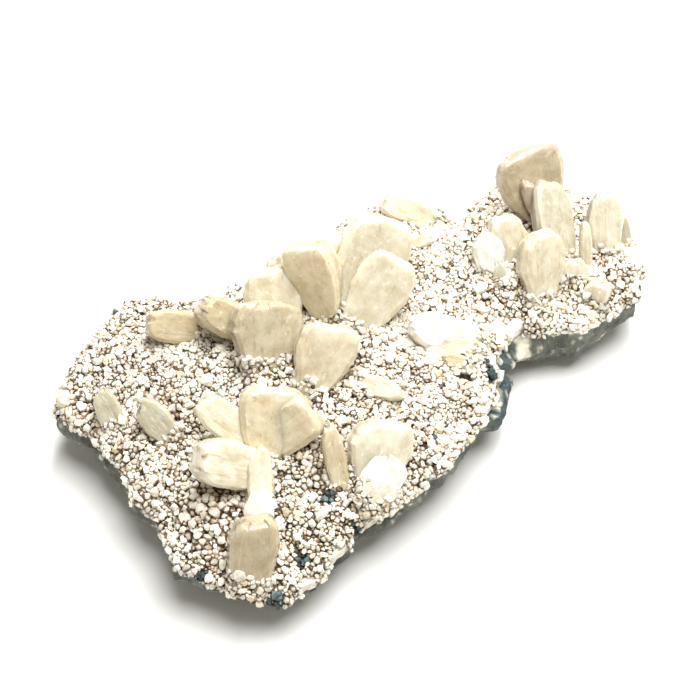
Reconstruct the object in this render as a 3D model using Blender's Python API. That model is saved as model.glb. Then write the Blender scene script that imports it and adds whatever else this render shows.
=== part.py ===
"""Stilbite crystals on druse and basalt, a hand specimen about 150 mm long.

A slab of dark basalt carries a crust of small pale crystals on its top. Cream stilbite
blades and sheaves stand in and lean out of the crust. The frame has +Z up and its origin in
the middle of the flat spot that the slab rests on. Sizes are in millimetres until a mesh
is made.
"""

import math
import random
from collections import namedtuple

import bmesh
import bpy
from mathutils import Vector, geometry, noise

MM = 0.001
SEED = 7

# Slab in plan: corners of the crust's edge, anticlockwise from above
RIM = [
    (-67, -26), (-65, -29), (-61, -35), (-57, -41), (-52, -46), (-44, -46), (-36, -44), (-28, -42),
    (-18, -42), (-8, -41), (0, -40), (9, -36), (17, -33), (23, -28), (27, -23), (31, -20),
    (37, -21), (42, -24), (48, -28), (58, -29), (66, -29), (73, -24), (78, -17), (81, -7),
    (80, 1), (76, 9), (72, 16), (66, 21), (58, 20), (52, 18), (47, 15), (46, 22),
    (44, 29), (40, 33), (34, 34), (24, 34), (16, 31), (8, 29), (0, 29), (-9, 29),
    (-12, 33), (-20, 35), (-26, 37), (-31, 43), (-35, 45), (-40, 43), (-46, 40), (-52, 38),
    (-57, 34), (-62, 30), (-66, 26), (-65, 21), (-63, 15), (-63, 8), (-63, 0), (-65, -6),
    (-64, -12), (-65, -19),
]
RIM_STEP = 3.2
RIM_JAG = 0.55

# Flat spot that the slab rests on, in plan
FOOTPRINT = [
    (-38, -12), (-30, -20), (-16, -22), (2, -19), (18, -14), (34, -12), (42, -5),
    (36, 4), (20, 10), (2, 13), (-16, 18), (-32, 15), (-40, 4),
]

# Height of the crust's edge, its drop at the thin front tip, and the rise to the middle
RIM_HEIGHT = 18.2
TIP = (-52, -46)
TIP_DROP = 4.0
TIP_REACH = 18.0
DOME_RISE = 4.6
DOME_REACH = 11.0
EDGE_ROUND = 1.2
EDGE_REACH = 1.6

# Relief of the crust: broad swells, rounded lumps and single crystals
SWELL = (26.0, 2.2)
LUMP = (8.5, 2.0)
GRAIN_RELIEF = 0.45
GRAIN_STEP = 2.75
CRUST_THICKNESS = 3.0
CRUST_EDGE = 2.2
COARSE_STEP = 8.0

# The slab's wall at points of its edge: x, y, height of its foot, how far it stands proud
WALL_FEET = [
    (-65, 20, 9.0, 0.6), (-65, 0, 8.5, 1.2), (-66, -20, 10.0, 0.8), (-58, -38, 9.5, -0.8),
    (-50, -46, 9.5, -1.2), (-30, -43, 9.5, -1.4), (-6, -41, 9.5, -1.4), (9, -36, 9.5, -1.2),
    (18, -32, 8.5, 0.6), (28, -22, 6.0, 1.6), (38, -21, 5.0, 1.4), (50, -27, 6.0, 0.8),
    (62, -29, 9.5, -0.8), (78, -17, 10.5, -1.0), (80, 0, 9.0, 0.2), (66, 20, 8.0, 0.4),
    (47, 16, 7.0, 0.4), (40, 33, 8.0, 0.4), (8, 29, 7.0, 0.6), (-20, 35, 7.0, 0.6),
    (-40, 43, 8.0, 0.4), (-57, 34, 8.0, 0.4),
]
UNDERSIDE_STEP = 5.5
UNDERSIDE_ROUGH = 1.3
WALL_ROUGH = 0.7

# Gap that separate solids keep: between crust and slab, and crystals and crust
GAP = 0.3
CRYSTAL_LIFT = 0.45
ROOT_DEPTH = 3.0
CUTTER_FLOOR = 2.0

# One crystal. x, y: its foot in plan. lean: the way it leans, anticlockwise from +X. rise: its
# angle above the floor. turn: its turn about its own length. foot, tip: its width there as a
# share of the whole width. fan: the angle by which its sides spread from its middle line.
Sheaf = namedtuple("Sheaf", "x y lean rise length width thick turn foot fan tip")

CRYSTALS = {
    "stilbite_centre_cluster": [
        Sheaf(4, 4, 23, 52, 24.5, 9, 6.0, 34, 0.8, 6, 0.35),
        Sheaf(3, 1, 7, 42, 18.5, 8, 5.5, 38, 0.8, 6, 0.35),
        Sheaf(-1, 7, 94, 63, 20.0, 7, 6.0, -58, 0.7, 6, 0.45),
        Sheaf(3, 9, 75, 60, 16.0, 6, 5.0, -14, 0.8, 4, 0.45),
        Sheaf(-11, 12, 70, 52, 14.5, 8, 5.5, -4, 0.8, 9, 0.45),
        Sheaf(-5, 17, 87, 60, 13.0, 6, 4.0, -34, 0.8, 3, 0.50),
        Sheaf(-18, 14, 145, 40, 16.0, 7, 6.5, -40, 0.8, 4, 0.40),
    ],
    "stilbite_wide_blade": [Sheaf(-22, 4, 48, 46, 14.5, 10, 6.5, 26, 0.8, 9, 0.50)],
    "stilbite_left_blade": [Sheaf(-27, 23, 158, 24, 14, 7, 5.0, -42, 0.8, 3, 0.40)],
    "stilbite_bright_blade": [Sheaf(-17, -8, 25, 44, 15.5, 8, 5.5, 32, 0.8, 10, 0.40)],
    "stilbite_front_cluster": [
        Sheaf(-37, -17, 45, 46, 16.5, 7, 6.0, 12, 0.8, 13, 0.45),
        Sheaf(-36, -15, -16, 36, 15.5, 7, 5.5, 40, 0.8, 10, 0.45),
        Sheaf(-37, -13, 122, 38, 16, 7, 5.5, -34, 0.7, 3, 0.35),
        Sheaf(-39, -20, 158, 33, 18, 9, 7.0, -46, 0.7, 4, 0.35),
        Sheaf(-44, -25, 55, 45, 11.5, 6, 5.0, 14, 0.9, 0, 0.60),
    ],
    "stilbite_front_post": [Sheaf(-55, -36, 32, 58, 15.5, 8, 7.0, 26, 0.9, 5, 0.50)],
    "stilbite_far_cluster": [
        Sheaf(62, 2, 84, 56, 18.5, 7, 8.0, -4, 0.7, 11, 0.45),
        Sheaf(57, -11, 70, 36, 20, 8, 5.5, 6, 0.8, 2, 0.40),
        Sheaf(61, -1, 112, 58, 14, 5, 4.5, -40, 0.9, 0, 0.50),
    ],
    "stilbite_upright_blade": [Sheaf(69, -13, 60, 60, 15.0, 8, 4.5, 8, 0.9, 1, 0.35)],
    "stilbite_round_blade": [Sheaf(46, -16, 57, 58, 15.0, 9, 5.5, 14, 0.65, 3, 0.35)],
    "stilbite_pale_pair": [
        Sheaf(46, -5, 84, 56, 13.0, 7, 4.5, -10, 0.7, 3, 0.40),
        Sheaf(40, -3, 68, 56, 10.5, 7, 4.5, -5, 0.7, 0, 0.40),
    ],
    "stilbite_low_block": [
        Sheaf(55, -18, 57, 60, 5, 7, 3.5, 6, 0.9, 0, 0.70),
        Sheaf(59, -18, 62, 62, 12.5, 3, 3.0, 0, 0.9, 0, 0.60),
    ],
    "stilbite_half_sunk_block": [Sheaf(56, -24, -40, 58, 5.5, 6, 4.0, 60, 0.8, 0, 0.50)],
    "stilbite_back_blade": [Sheaf(41, 20, 140, 24, 14, 6, 5.0, -42, 0.8, 2, 0.50)],
    "stilbite_thin_blade": [Sheaf(-27, -32, 71, 52, 13.5, 5, 3.0, 0, 0.8, 0, 0.50)],
    "stilbite_front_edge_blade": [
        Sheaf(-19, -33, 32, 50, 13.5, 10, 6.5, 32, 0.8, 5, 0.45),
        Sheaf(-20, -36, 48, 45, 7, 9, 5.5, 10, 0.9, 0, 0.60),
    ],
    "stilbite_ledge_blade": [Sheaf(23, -18, 147, 18, 15, 8, 5.5, -40, 0.8, 1, 0.40)],
    "stilbite_grey_chip": [Sheaf(-58, 13, 85, 44, 9, 6, 4.0, -12, 0.8, 0, 0.40)],
    "stilbite_green_chip": [Sheaf(-50, 2, 108, 32, 10, 7, 4.0, -32, 0.8, 0, 0.50)],
    "stilbite_flat_chip": [Sheaf(-7, -14, -70, 14, 11, 5, 3.5, 38, 0.8, 0, 0.50)],
    "stilbite_edge_chip": [Sheaf(76, -14, 70, 55, 6.5, 4, 3.0, -6, 0.8, 0, 0.50)],
}

# Share of a crystal's length at each ring, and the length below which rings are left out
RINGS = (0.0, 0.24, 0.48, 0.68, 0.84, 0.94, 1.0)
SMALL_RINGS = (0.0, 0.4, 0.75, 1.0)
SMALL_LENGTH = 12.0
WIDEST = 0.62
TIP_POWER = 2.4

# A crystal's thickness is full from FULL_FROM on, and its tip is bevelled from BEVEL_START on
FULL_FROM = 0.5
BEVEL_START = 0.84
BEVEL_END = 0.5

# Corners of a crystal's section, as shares of half its width and half its thickness
SECTION = [
    (1.0, -0.60), (1.0, 0.60), (0.78, 1.0), (-0.78, 1.0),
    (-1.0, 0.60), (-1.0, -0.60), (-0.78, -1.0), (0.78, -1.0),
]

# Colour, roughness of each material
BASALT = ((0.045, 0.060, 0.058), 0.75)
DRUSE = ((0.80, 0.76, 0.68), 0.55)
STILBITE = ((0.78, 0.66, 0.46), 0.35)


def smoothstep(value):
    value = min(max(value, 0.0), 1.0)
    return value * value * (3.0 - 2.0 * value)


def distance_to_loop(x, y, loop):
    """Distance in plan from a point to a closed outline."""
    best = math.inf
    for (ax, ay), (bx, by) in zip(loop, loop[1:] + loop[:1]):
        dx, dy = bx - ax, by - ay
        share = ((x - ax) * dx + (y - ay) * dy) / (dx * dx + dy * dy)
        share = min(max(share, 0.0), 1.0)
        best = min(best, math.hypot(x - ax - share * dx, y - ay - share * dy))
    return best


def inside_loop(x, y, loop):
    """Whether a point lies inside a closed outline."""
    inside = False
    for (ax, ay), (bx, by) in zip(loop, loop[1:] + loop[:1]):
        if (ay > y) != (by > y) and x < ax + (y - ay) * (bx - ax) / (by - ay):
            inside = not inside
    return inside


def ragged_rim():
    """The crust's edge with a corner about every RIM_STEP, each pushed in or out a little."""
    rng = random.Random(SEED)
    points = []
    for (ax, ay), (bx, by) in zip(RIM, RIM[1:] + RIM[:1]):
        length = math.hypot(bx - ax, by - ay)
        steps = max(1, round(length / RIM_STEP))
        for step in range(steps):
            share = step / steps
            push = rng.uniform(-RIM_JAG, RIM_JAG)
            out_x, out_y = (by - ay) / length, (ax - bx) / length
            points.append((ax + share * (bx - ax) + push * out_x, ay + share * (by - ay) + push * out_y))
    return points


def rim_height(x, y):
    """Height of the crust's edge, carried on over the whole slab."""
    reach = ((x - TIP[0]) ** 2 + (y - TIP[1]) ** 2) / (2.0 * TIP_REACH ** 2)
    return RIM_HEIGHT - TIP_DROP * math.exp(-reach)


def smooth_height(x, y, rim):
    """Top of the crust without its lumps."""
    inward = distance_to_loop(x, y, rim)
    dome = DOME_RISE * (1.0 - math.exp(-(inward / DOME_REACH) ** 2))
    rounding = EDGE_ROUND * (math.exp(-inward / EDGE_REACH) - 1.0)
    size, rise = SWELL
    swell = rise * noise.noise(Vector((x / size, y / size, 3.7)))
    return rim_height(x, y) + dome - rounding - EDGE_ROUND + swell * smoothstep(inward / DOME_REACH)


def crust_height(x, y, rim):
    """Top of the crust with its rounded lumps."""
    size, rise = LUMP
    cell = noise.voronoi(Vector((x / size, y / size, 0.5)))[0][0]
    return smooth_height(x, y, rim) + rise * (0.45 - cell)


def wall_foot(x, y):
    """Height of the slab's foot near its edge and how proud its wall stands there, each given
    point weighted by how near it is."""
    height_sum = proud_sum = weight_sum = 0.0
    for px, py, height, proud in WALL_FEET:
        weight = 1.0 / ((x - px) ** 2 + (y - py) ** 2 + 4.0) ** 1.5
        height_sum += weight * height
        proud_sum += weight * proud
        weight_sum += weight
    return height_sum / weight_sum, proud_sum / weight_sum


def scatter(outline, step, margin, rng, keep_clear=()):
    """Points inside an outline, none nearer than step to another or margin to an edge."""
    low_x = min(p[0] for p in outline)
    high_x = max(p[0] for p in outline)
    low_y = min(p[1] for p in outline)
    high_y = max(p[1] for p in outline)
    grid = {}
    points = []
    tries = int(40 * (high_x - low_x) * (high_y - low_y) / step ** 2)
    for _ in range(tries):
        x, y = rng.uniform(low_x, high_x), rng.uniform(low_y, high_y)
        cell = (int(x // step), int(y // step))
        near = [q for i in (-1, 0, 1) for j in (-1, 0, 1) for q in grid.get((cell[0] + i, cell[1] + j), ())]
        if any(math.hypot(x - q[0], y - q[1]) < step for q in near):
            continue
        if not inside_loop(x, y, outline) or distance_to_loop(x, y, outline) < margin:
            continue
        if any(distance_to_loop(x, y, loop) < margin for loop in keep_clear):
            continue
        grid.setdefault(cell, []).append((x, y))
        points.append((x, y))
    return points


def triangulate(outline, inner, loops=()):
    """Triangles over an outline and the points in it; the outline's points come first."""
    points = list(outline) + list(inner)
    edges = [(i, (i + 1) % len(outline)) for i in range(len(outline))]
    for loop in loops:
        start = len(points)
        points += loop
        edges += [(start + i, start + (i + 1) % len(loop)) for i in range(len(loop))]
    found = geometry.delaunay_2d_cdt([Vector(p) for p in points], edges, [], 1, 1e-5)
    order = [given[0] for given in found[3]]
    return points, [tuple(order[i] for i in face) for face in found[2]]


def make_material(name, look):
    colour, roughness = look
    material = bpy.data.materials.new(name)
    material.use_nodes = True
    shader = material.node_tree.nodes["Principled BSDF"]
    shader.inputs["Base Color"].default_value = (*colour, 1.0)
    shader.inputs["Roughness"].default_value = roughness
    shader.inputs["Metallic"].default_value = 0.0
    material.diffuse_color = (*colour, 1.0)
    return material


def add_object(name, points, faces, look):
    """A closed mesh object from points in millimetres."""
    mesh = bpy.data.meshes.new(name)
    mesh.from_pydata([tuple(c * MM for c in p) for p in points], [], faces)
    shell = bmesh.new()
    shell.from_mesh(mesh)
    bmesh.ops.recalc_face_normals(shell, faces=shell.faces)
    shell.to_mesh(mesh)
    shell.free()
    obj = bpy.data.objects.new(name, mesh)
    bpy.context.scene.collection.objects.link(obj)
    obj.data.materials.append(make_material(name, look))
    return obj


def hide_helper(obj):
    obj.hide_render = True
    obj.display_type = "WIRE"


def closed_field(name, outline, top, top_faces, bottom, bottom_faces, look, belt=()):
    """A solid between two height fields that share an outline, with optional rings between."""
    count = len(outline)
    points = list(top) + list(bottom)
    shift = len(top)
    faces = list(top_faces) + [tuple(shift + i for i in reversed(face)) for face in bottom_faces]
    rings = [range(count)]
    for ring in belt:
        rings.append(range(len(points), len(points) + count))
        points += ring
    rings.append(range(shift, shift + count))
    for upper, lower in zip(rings, rings[1:]):
        for i in range(count):
            j = (i + 1) % count
            faces.append((upper[i], lower[i], lower[j]))
            faces.append((upper[i], lower[j], upper[j]))
    return add_object(name, points, faces, look)


def make_slab_and_crust():
    """The basalt, the crust on it, and the crust's top raised as a cutter for the crystals."""
    rng = random.Random(SEED + 1)
    rim = ragged_rim()
    fine = scatter(rim, GRAIN_STEP, GRAIN_STEP * 0.6, rng)
    coarse = scatter(rim, COARSE_STEP, COARSE_STEP * 0.4, rng)
    top_plan, top_faces = triangulate(rim, fine)
    bed_plan, bed_faces = triangulate(rim, coarse)

    top = []
    for index, (x, y) in enumerate(top_plan):
        bump = rng.uniform(-GRAIN_RELIEF, GRAIN_RELIEF) if index >= len(rim) else 0.0
        top.append((x, y, crust_height(x, y, rim) + bump))
    bed = []
    for index, (x, y) in enumerate(bed_plan):
        depth = CRUST_EDGE if index < len(rim) else CRUST_THICKNESS
        base = top[index][2] if index < len(rim) else smooth_height(x, y, rim)
        bed.append((x, y, base - depth))
    closed_field("druse_crust", rim, top, top_faces, bed, bed_faces, DRUSE)

    lifted = [(x, y, z + CRYSTAL_LIFT) for x, y, z in top]
    floor = [(x, y, CUTTER_FLOOR) for x, y in bed_plan]
    cutter = closed_field("crust_cutter", rim, lifted, top_faces, floor, bed_faces, DRUSE)
    hide_helper(cutter)

    slab_top = [(x, y, z - GAP) for x, y, z in bed]
    under = scatter(rim, UNDERSIDE_STEP, UNDERSIDE_STEP * 0.4, rng, keep_clear=(FOOTPRINT,))
    under_plan, under_faces = triangulate(rim, under, loops=(FOOTPRINT,))
    flat_start = len(under_plan) - len(FOOTPRINT)
    bottom = []
    for index, (x, y) in enumerate(under_plan):
        if index >= flat_start or inside_loop(x, y, FOOTPRINT):
            bottom.append((x, y, 0.0))
            continue
        to_foot = distance_to_loop(x, y, FOOTPRINT)
        share = to_foot / (to_foot + (0.0 if index < len(rim) else distance_to_loop(x, y, rim)))
        rough = rng.uniform(-UNDERSIDE_ROUGH, UNDERSIDE_ROUGH) * math.sin(math.pi * share)
        bottom.append((x, y, max(0.6, wall_foot(x, y)[0] * share + rough)))

    belt = []
    for index, (x, y) in enumerate(rim):
        before, after = rim[index - 1], rim[(index + 1) % len(rim)]
        run_x, run_y = after[0] - before[0], after[1] - before[1]
        length = math.hypot(run_x, run_y)
        out = wall_foot(x, y)[1] + rng.uniform(-WALL_ROUGH, WALL_ROUGH)
        height = 0.5 * (slab_top[index][2] + bottom[index][2])
        belt.append((x + out * run_y / length, y - out * run_x / length, height))
    closed_field("basalt_matrix", rim, slab_top, bed_faces, bottom, under_faces, BASALT, belt=[belt])
    return rim, cutter


def width_share(share, foot, tip):
    """Half-width along a crystal: narrow foot, widest past the middle, rounded tip."""
    if share < WIDEST:
        return foot + (1.0 - foot) * smoothstep(share / WIDEST)
    past = (share - WIDEST) / (1.0 - WIDEST)
    return tip + (1.0 - tip) * math.sqrt(max(0.0, 1.0 - past ** TIP_POWER))


def thick_share(share, foot):
    """Half-thickness along a crystal: growing from its foot, then bevelled to its tip."""
    if share < BEVEL_START:
        return foot + (1.0 - foot) * min(1.0, share / FULL_FROM)
    return 1.0 + (BEVEL_END - 1.0) * (share - BEVEL_START) / (1.0 - BEVEL_START)


def sheaf_frame(sheaf):
    """Unit vectors along a crystal, across its width and through its thickness."""
    lean, rise, turn = (math.radians(a) for a in (sheaf.lean, sheaf.rise, sheaf.turn))
    along = Vector((math.cos(lean) * math.cos(rise), math.sin(lean) * math.cos(rise), math.sin(rise)))
    level = Vector((-math.sin(lean), math.cos(lean), 0.0))
    upright = along.cross(level)
    across = math.cos(turn) * level + math.sin(turn) * upright
    return along, across, along.cross(across)


def make_sheaf(name, sheaf, rim):
    """One crystal as a lofted blade that starts below the crust's top."""
    along, across, through = sheaf_frame(sheaf)
    start = Vector((sheaf.x, sheaf.y, crust_height(sheaf.x, sheaf.y, rim))) - ROOT_DEPTH * along
    full_length = sheaf.length + ROOT_DEPTH
    rings = RINGS if sheaf.length >= SMALL_LENGTH else SMALL_RINGS
    points = []
    for share in rings:
        wide = 0.5 * sheaf.width * width_share(share, sheaf.foot, sheaf.tip)
        thick = 0.5 * sheaf.thick * thick_share(share, 0.5 + 0.5 * sheaf.foot)
        reach = share * full_length
        for a, b in SECTION:
            spread = math.radians(a * sheaf.fan)
            along_part = reach * math.cos(spread) * along
            across_part = (a * wide + reach * math.sin(spread)) * across
            points.append(start + along_part + across_part + b * thick * through)
    sides = len(SECTION)
    faces = [tuple(reversed(range(sides))), tuple(range(len(points) - sides, len(points)))]
    for ring in range(len(rings) - 1):
        for i in range(sides):
            j = (i + 1) % sides
            low, high = ring * sides, (ring + 1) * sides
            faces.append((low + i, low + j, high + j, high + i))
    return add_object(name, points, faces, STILBITE)


def add_boolean(obj, other, operation):
    cut = obj.modifiers.new(f"{operation.lower()}_{other.name}", "BOOLEAN")
    cut.operation = operation
    cut.object = other
    cut.solver = "EXACT"


def make_crystals(rim, cutter):
    """Each group of crystals that have grown into each other as one solid, cut off at the crust."""
    for name, sheaves in CRYSTALS.items():
        solid = make_sheaf(name, sheaves[0], rim)
        for index, sheaf in enumerate(sheaves[1:], start=2):
            helper = make_sheaf(f"{name}_{index}", sheaf, rim)
            hide_helper(helper)
            add_boolean(solid, helper, "UNION")
        add_boolean(solid, cutter, "DIFFERENCE")


def main():
    for obj in list(bpy.data.objects):
        bpy.data.objects.remove(obj)
    rim, cutter = make_slab_and_crust()
    make_crystals(rim, cutter)


main()
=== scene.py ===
"""Looks of the stilbite specimen: crystals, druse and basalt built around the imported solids.

Lengths are in millimetres until a mesh is made. Places are in the frame of the solids, with
+Z up and the floor at zero.
"""

import math
import random
from collections import namedtuple

import bmesh
import bpy
import numpy as np
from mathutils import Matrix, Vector, noise
from mathutils.bvhtree import BVHTree
from mathutils.kdtree import KDTree


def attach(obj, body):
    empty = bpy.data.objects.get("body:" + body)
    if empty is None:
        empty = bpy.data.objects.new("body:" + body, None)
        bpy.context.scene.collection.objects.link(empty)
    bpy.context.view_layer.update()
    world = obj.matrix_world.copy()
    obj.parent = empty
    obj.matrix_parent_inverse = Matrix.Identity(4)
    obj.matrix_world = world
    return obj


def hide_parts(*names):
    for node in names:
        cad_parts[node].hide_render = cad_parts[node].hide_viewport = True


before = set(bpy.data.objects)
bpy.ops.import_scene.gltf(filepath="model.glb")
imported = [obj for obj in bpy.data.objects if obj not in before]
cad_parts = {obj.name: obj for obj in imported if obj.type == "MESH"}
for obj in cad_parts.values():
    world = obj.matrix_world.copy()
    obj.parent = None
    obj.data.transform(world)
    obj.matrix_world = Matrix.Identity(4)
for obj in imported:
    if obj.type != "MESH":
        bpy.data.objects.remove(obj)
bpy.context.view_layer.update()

MM = 0.001
SEED = 11
# How deep a crystal is rooted in the crust, and the height from which the crust is felt for
ROOT_DEPTH = 3.0
RAY_HEIGHT = 100.0

# One crystal. x, y: its foot in plan. lean: the way it leans, anticlockwise from +X. rise: its
# angle above the floor. length: from the crust to its tip. turn: its turn about its own length.
# foot, tip: its width there as a share of the whole width. fan: the angle by which its sides
# spread. slant: how far one edge of its tip stands back from the other, as a share of its width.
# frost: how far up grains climb, as a share of its length.
Blade = namedtuple("Blade", "x y lean rise length width thick turn foot fan tip slant frost tint")

CRYSTALS = {
    "stilbite_centre_cluster": [
        Blade(4, 4, 23, 52, 24.5, 12, 6.0, 34, 0.7, 7, 0.35, 0.05, 0.05, "ivory"),
        Blade(3, 1, 8, 43, 19.0, 11, 5.5, 38, 0.7, 7, 0.35, -0.05, 0.06, "ivory"),
        Blade(-1, 7, 94, 63, 20.5, 9, 6.0, -58, 0.6, 8, 0.45, 0.0, 0.04, "warm"),
        Blade(3, 9, 75, 60, 16.5, 8, 5.0, -14, 0.7, 6, 0.45, 0.1, 0.04, "warm"),
        Blade(-12, 12, 70, 52, 14.5, 11, 5.5, -4, 0.7, 9, 0.45, 0.1, 0.04, "cream"),
        Blade(-5, 17, 87, 60, 13.0, 6, 4.0, -34, 0.8, 3, 0.50, 0.15, 0.04, "cream"),
        Blade(-18, 14, 145, 40, 16.0, 7, 6.5, -40, 0.8, 4, 0.40, 0.0, 0.05, "honey"),
    ],
    "stilbite_wide_blade": [
        Blade(-22, 4, 48, 46, 15.0, 13, 6.5, 26, 0.75, 10, 0.50, 0.0, 0.12, "stone"),
    ],
    "stilbite_left_blade": [
        Blade(-27, 23, 158, 24, 14, 7, 5.0, -42, 0.8, 3, 0.40, 0.0, 0.12, "honey"),
    ],
    "stilbite_bright_blade": [
        Blade(-17, -8, 25, 44, 15.5, 9, 5.5, 32, 0.7, 12, 0.40, 0.1, 0.08, "grey"),
    ],
    "stilbite_front_cluster": [
        Blade(-37, -17, 45, 46, 16.5, 7, 6.0, 12, 0.8, 13, 0.45, 0.1, 0.03, "buff"),
        Blade(-36, -15, -16, 36, 15.5, 7, 5.5, 40, 0.8, 10, 0.45, 0.0, 0.03, "buff"),
        Blade(-37, -13, 122, 38, 16, 7, 5.5, -34, 0.7, 3, 0.35, 0.0, 0.03, "ivory"),
        Blade(-39, -20, 158, 33, 18, 9, 7.0, -46, 0.7, 4, 0.35, 0.0, 0.03, "ivory"),
        Blade(-44, -25, 55, 45, 11.5, 6, 5.0, 14, 0.9, 0, 0.60, 0.2, 0.06, "ivory"),
        Blade(-48, -30.5, 55, 46, 8.5, 6.5, 4.5, 8, 0.9, 0, 0.60, 0.2, 0.06, "white"),
    ],
    "stilbite_front_post": [
        Blade(-56, -37.5, 40, 52, 14.5, 9, 7.0, 22, 0.85, 5, 0.50, 0.15, 0.14, "tan"),
    ],
    "stilbite_far_cluster": [
        Blade(62, 2, 84, 56, 18.5, 10, 5.5, -4, 0.55, 16, 0.45, 0.05, 0.02, "tan"),
        Blade(57, -11, 68, 36, 19, 9, 5.5, 6, 0.7, 2, 0.40, -0.1, 0.04, "green"),
        Blade(61, -1, 112, 58, 14, 5, 4.5, -40, 0.9, 0, 0.50, 0.0, 0.02, "pink"),
    ],
    "stilbite_upright_blade": [
        Blade(69, -14, 60, 60, 14.5, 8.5, 4.5, 8, 0.8, 1, 0.35, 0.0, 0.05, "ivory"),
    ],
    "stilbite_round_blade": [
        Blade(46, -16, 57, 58, 15.0, 10.5, 5.5, 14, 0.6, 3, 0.35, 0.1, 0.06, "cream"),
    ],
    "stilbite_pale_pair": [
        Blade(46, -6, 84, 56, 12.0, 8, 4.5, -10, 0.7, 3, 0.40, 0.0, 0.04, "cream"),
        Blade(40, -4, 68, 56, 8.5, 8, 4.5, -5, 0.7, 0, 0.40, 0.0, 0.06, "white"),
        Blade(39.8, -7.5, 53, 50, 3.4, 3.0, 2.4, 10, 0.9, 0, 0.60, 0.1, 0.0, "green"),
    ],
    "stilbite_low_block": [
        Blade(55, -18, 57, 60, 5, 7, 3.5, 6, 0.9, 0, 0.70, 0.0, 0.18, "ivory"),
        Blade(59, -18, 62, 62, 12.5, 3, 3.0, 0, 0.9, 0, 0.60, 0.1, 0.08, "ivory"),
    ],
    "stilbite_half_sunk_block": [
        Blade(56, -24, -40, 58, 5.5, 6, 4.0, 60, 0.8, 0, 0.50, 0.0, 0.12, "grey"),
    ],
    "stilbite_back_blade": [
        Blade(41, 20, 140, 24, 14, 6, 5.0, -42, 0.8, 2, 0.50, 0.0, 0.08, "cream"),
        Blade(29.5, 14.0, -37, 22, 5.5, 3.2, 2.4, 30, 0.9, 0, 0.60, 0.1, 0.0, "grey"),
    ],
    "stilbite_thin_blade": [
        Blade(-27, -32, 71, 52, 13.5, 5, 3.0, 0, 0.8, 0, 0.50, 0.2, 0.04, "buff"),
    ],
    "stilbite_front_edge_blade": [
        Blade(-19, -34, 32, 48, 12.0, 12, 6.5, 32, 0.75, 8, 0.45, 0.1, 0.04, "ivory"),
        Blade(-20, -37, 30, 38, 7, 10, 6.5, 14, 0.9, 4, 0.60, 0.0, 0.10, "white"),
        Blade(-17, -36, 64, 50, 6, 7, 5.5, -20, 0.9, 4, 0.60, 0.0, 0.10, "white"),
        Blade(-23, -39, 4, 30, 5.5, 8, 5.0, 30, 0.9, 0, 0.60, 0.2, 0.10, "ivory"),
    ],
    "stilbite_ledge_blade": [
        Blade(24, -18, 147, 27, 18, 8.5, 4.0, -40, 0.8, 1, 0.30, 0.0, 0.05, "white"),
        Blade(21, -20, 150, 14, 12, 8, 4.0, -30, 0.8, 1, 0.30, 0.0, 0.06, "cream"),
        Blade(16.5, -21.5, 150, 24, 5.0, 3.5, 2.5, -30, 0.9, 0, 0.60, 0.1, 0.0, "honey"),
    ],
    "stilbite_grey_chip": [
        Blade(-58, 13, 85, 44, 9, 6, 4.0, -12, 0.8, 0, 0.40, 0.2, 0.12, "green"),
    ],
    "stilbite_green_chip": [
        Blade(-50, 2, 108, 32, 10, 7, 4.0, -32, 0.8, 0, 0.50, 0.2, 0.10, "green"),
    ],
    "stilbite_flat_chip": [
        Blade(-7, -14, -70, 14, 11, 5, 3.5, 38, 0.8, 0, 0.50, 0.0, 0.06, "ivory"),
    ],
    "stilbite_edge_chip": [
        Blade(76, -14, 70, 55, 6.5, 4, 3.0, -6, 0.8, 0, 0.50, 0.2, 0.12, "green"),
    ],
}

# Base colours of the crystals
TINTS = {
    "white": (0.88, 0.86, 0.79),
    "ivory": (0.735, 0.685, 0.535),
    "cream": (0.70, 0.64, 0.485),
    "buff": (0.63, 0.555, 0.39),
    "grey": (0.68, 0.61, 0.455),
    "warm": (0.80, 0.71, 0.51),
    "stone": (0.515, 0.455, 0.325),
    "honey": (0.53, 0.46, 0.31),
    "tan": (0.465, 0.395, 0.27),
    "green": (0.50, 0.47, 0.36),
    "pink": (0.46, 0.38, 0.30),
}

# Outline of a crystal: widest share of its length, roundness of its tip, how far the end of the
# tip is drawn in, its rings, how uneven it is, the waves and nicks along its edge, and how unlike
# its two sides are
WIDEST = 0.58
TIP_POWER = 2.0
TIP_NARROWING = 0.32
RINGS = (
    0.0, 0.1, 0.2, 0.3, 0.4, 0.5, 0.6, 0.68, 0.75, 0.81, 0.86, 0.90, 0.93, 0.955, 0.975, 0.99, 1.0,
)
OUTLINE_UNEVEN = 0.11
EDGE_WAVES = 6.0
EDGE_NICKS = 22.0
SIDES_APART = 4.0
# Its thickness: where it is full, where its tip starts to thin and how thin that and its sides end
FULL_FROM = 0.5
TIP_START = (0.91, 0.955)
TIP_THICK = 0.50
SIDE_THICK = 0.60
# Powers of the curves by which it thins towards its tip and its sides, and of their last drop
TIP_CURVE = 2.5
SIDE_CURVE = 8
DROP_CURVE = 0.6
# The strips side by side that make up a face: their width and how uneven it is, the points across
# one, how far strips stand apart, how round they are and how far back they end
STRIP_WIDTH = 2.4
STRIP_UNEVEN = 0.3
STRIP_POINTS = (-0.95, -0.35, 0.35, 0.95)
STRIP_STEP = 0.06
STRIP_ROUND = 0.05
STRIP_BACK = 0.9
# The points down a side, the grooves there and the relief of a face, with the scales of both
SIDE_POINTS = (0.33, -0.33)
STRIATION = 0.16
STRIATION_SCALES = (2.2, 0.6)
FACE_RELIEF = 0.16
RELIEF_SCALES = (0.45, 2.0)
# How ragged the tip is, as size, scale across, unlikeness of its faces and seed; from which share
# of the length, and over what share that grows
TIP_JAGS = ((0.5, 0.8, 0.3, 3.0), (0.3, 2.6, 0.5, 5.0))
JAG_FROM = 0.55
JAG_SPAN = 0.45
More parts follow.
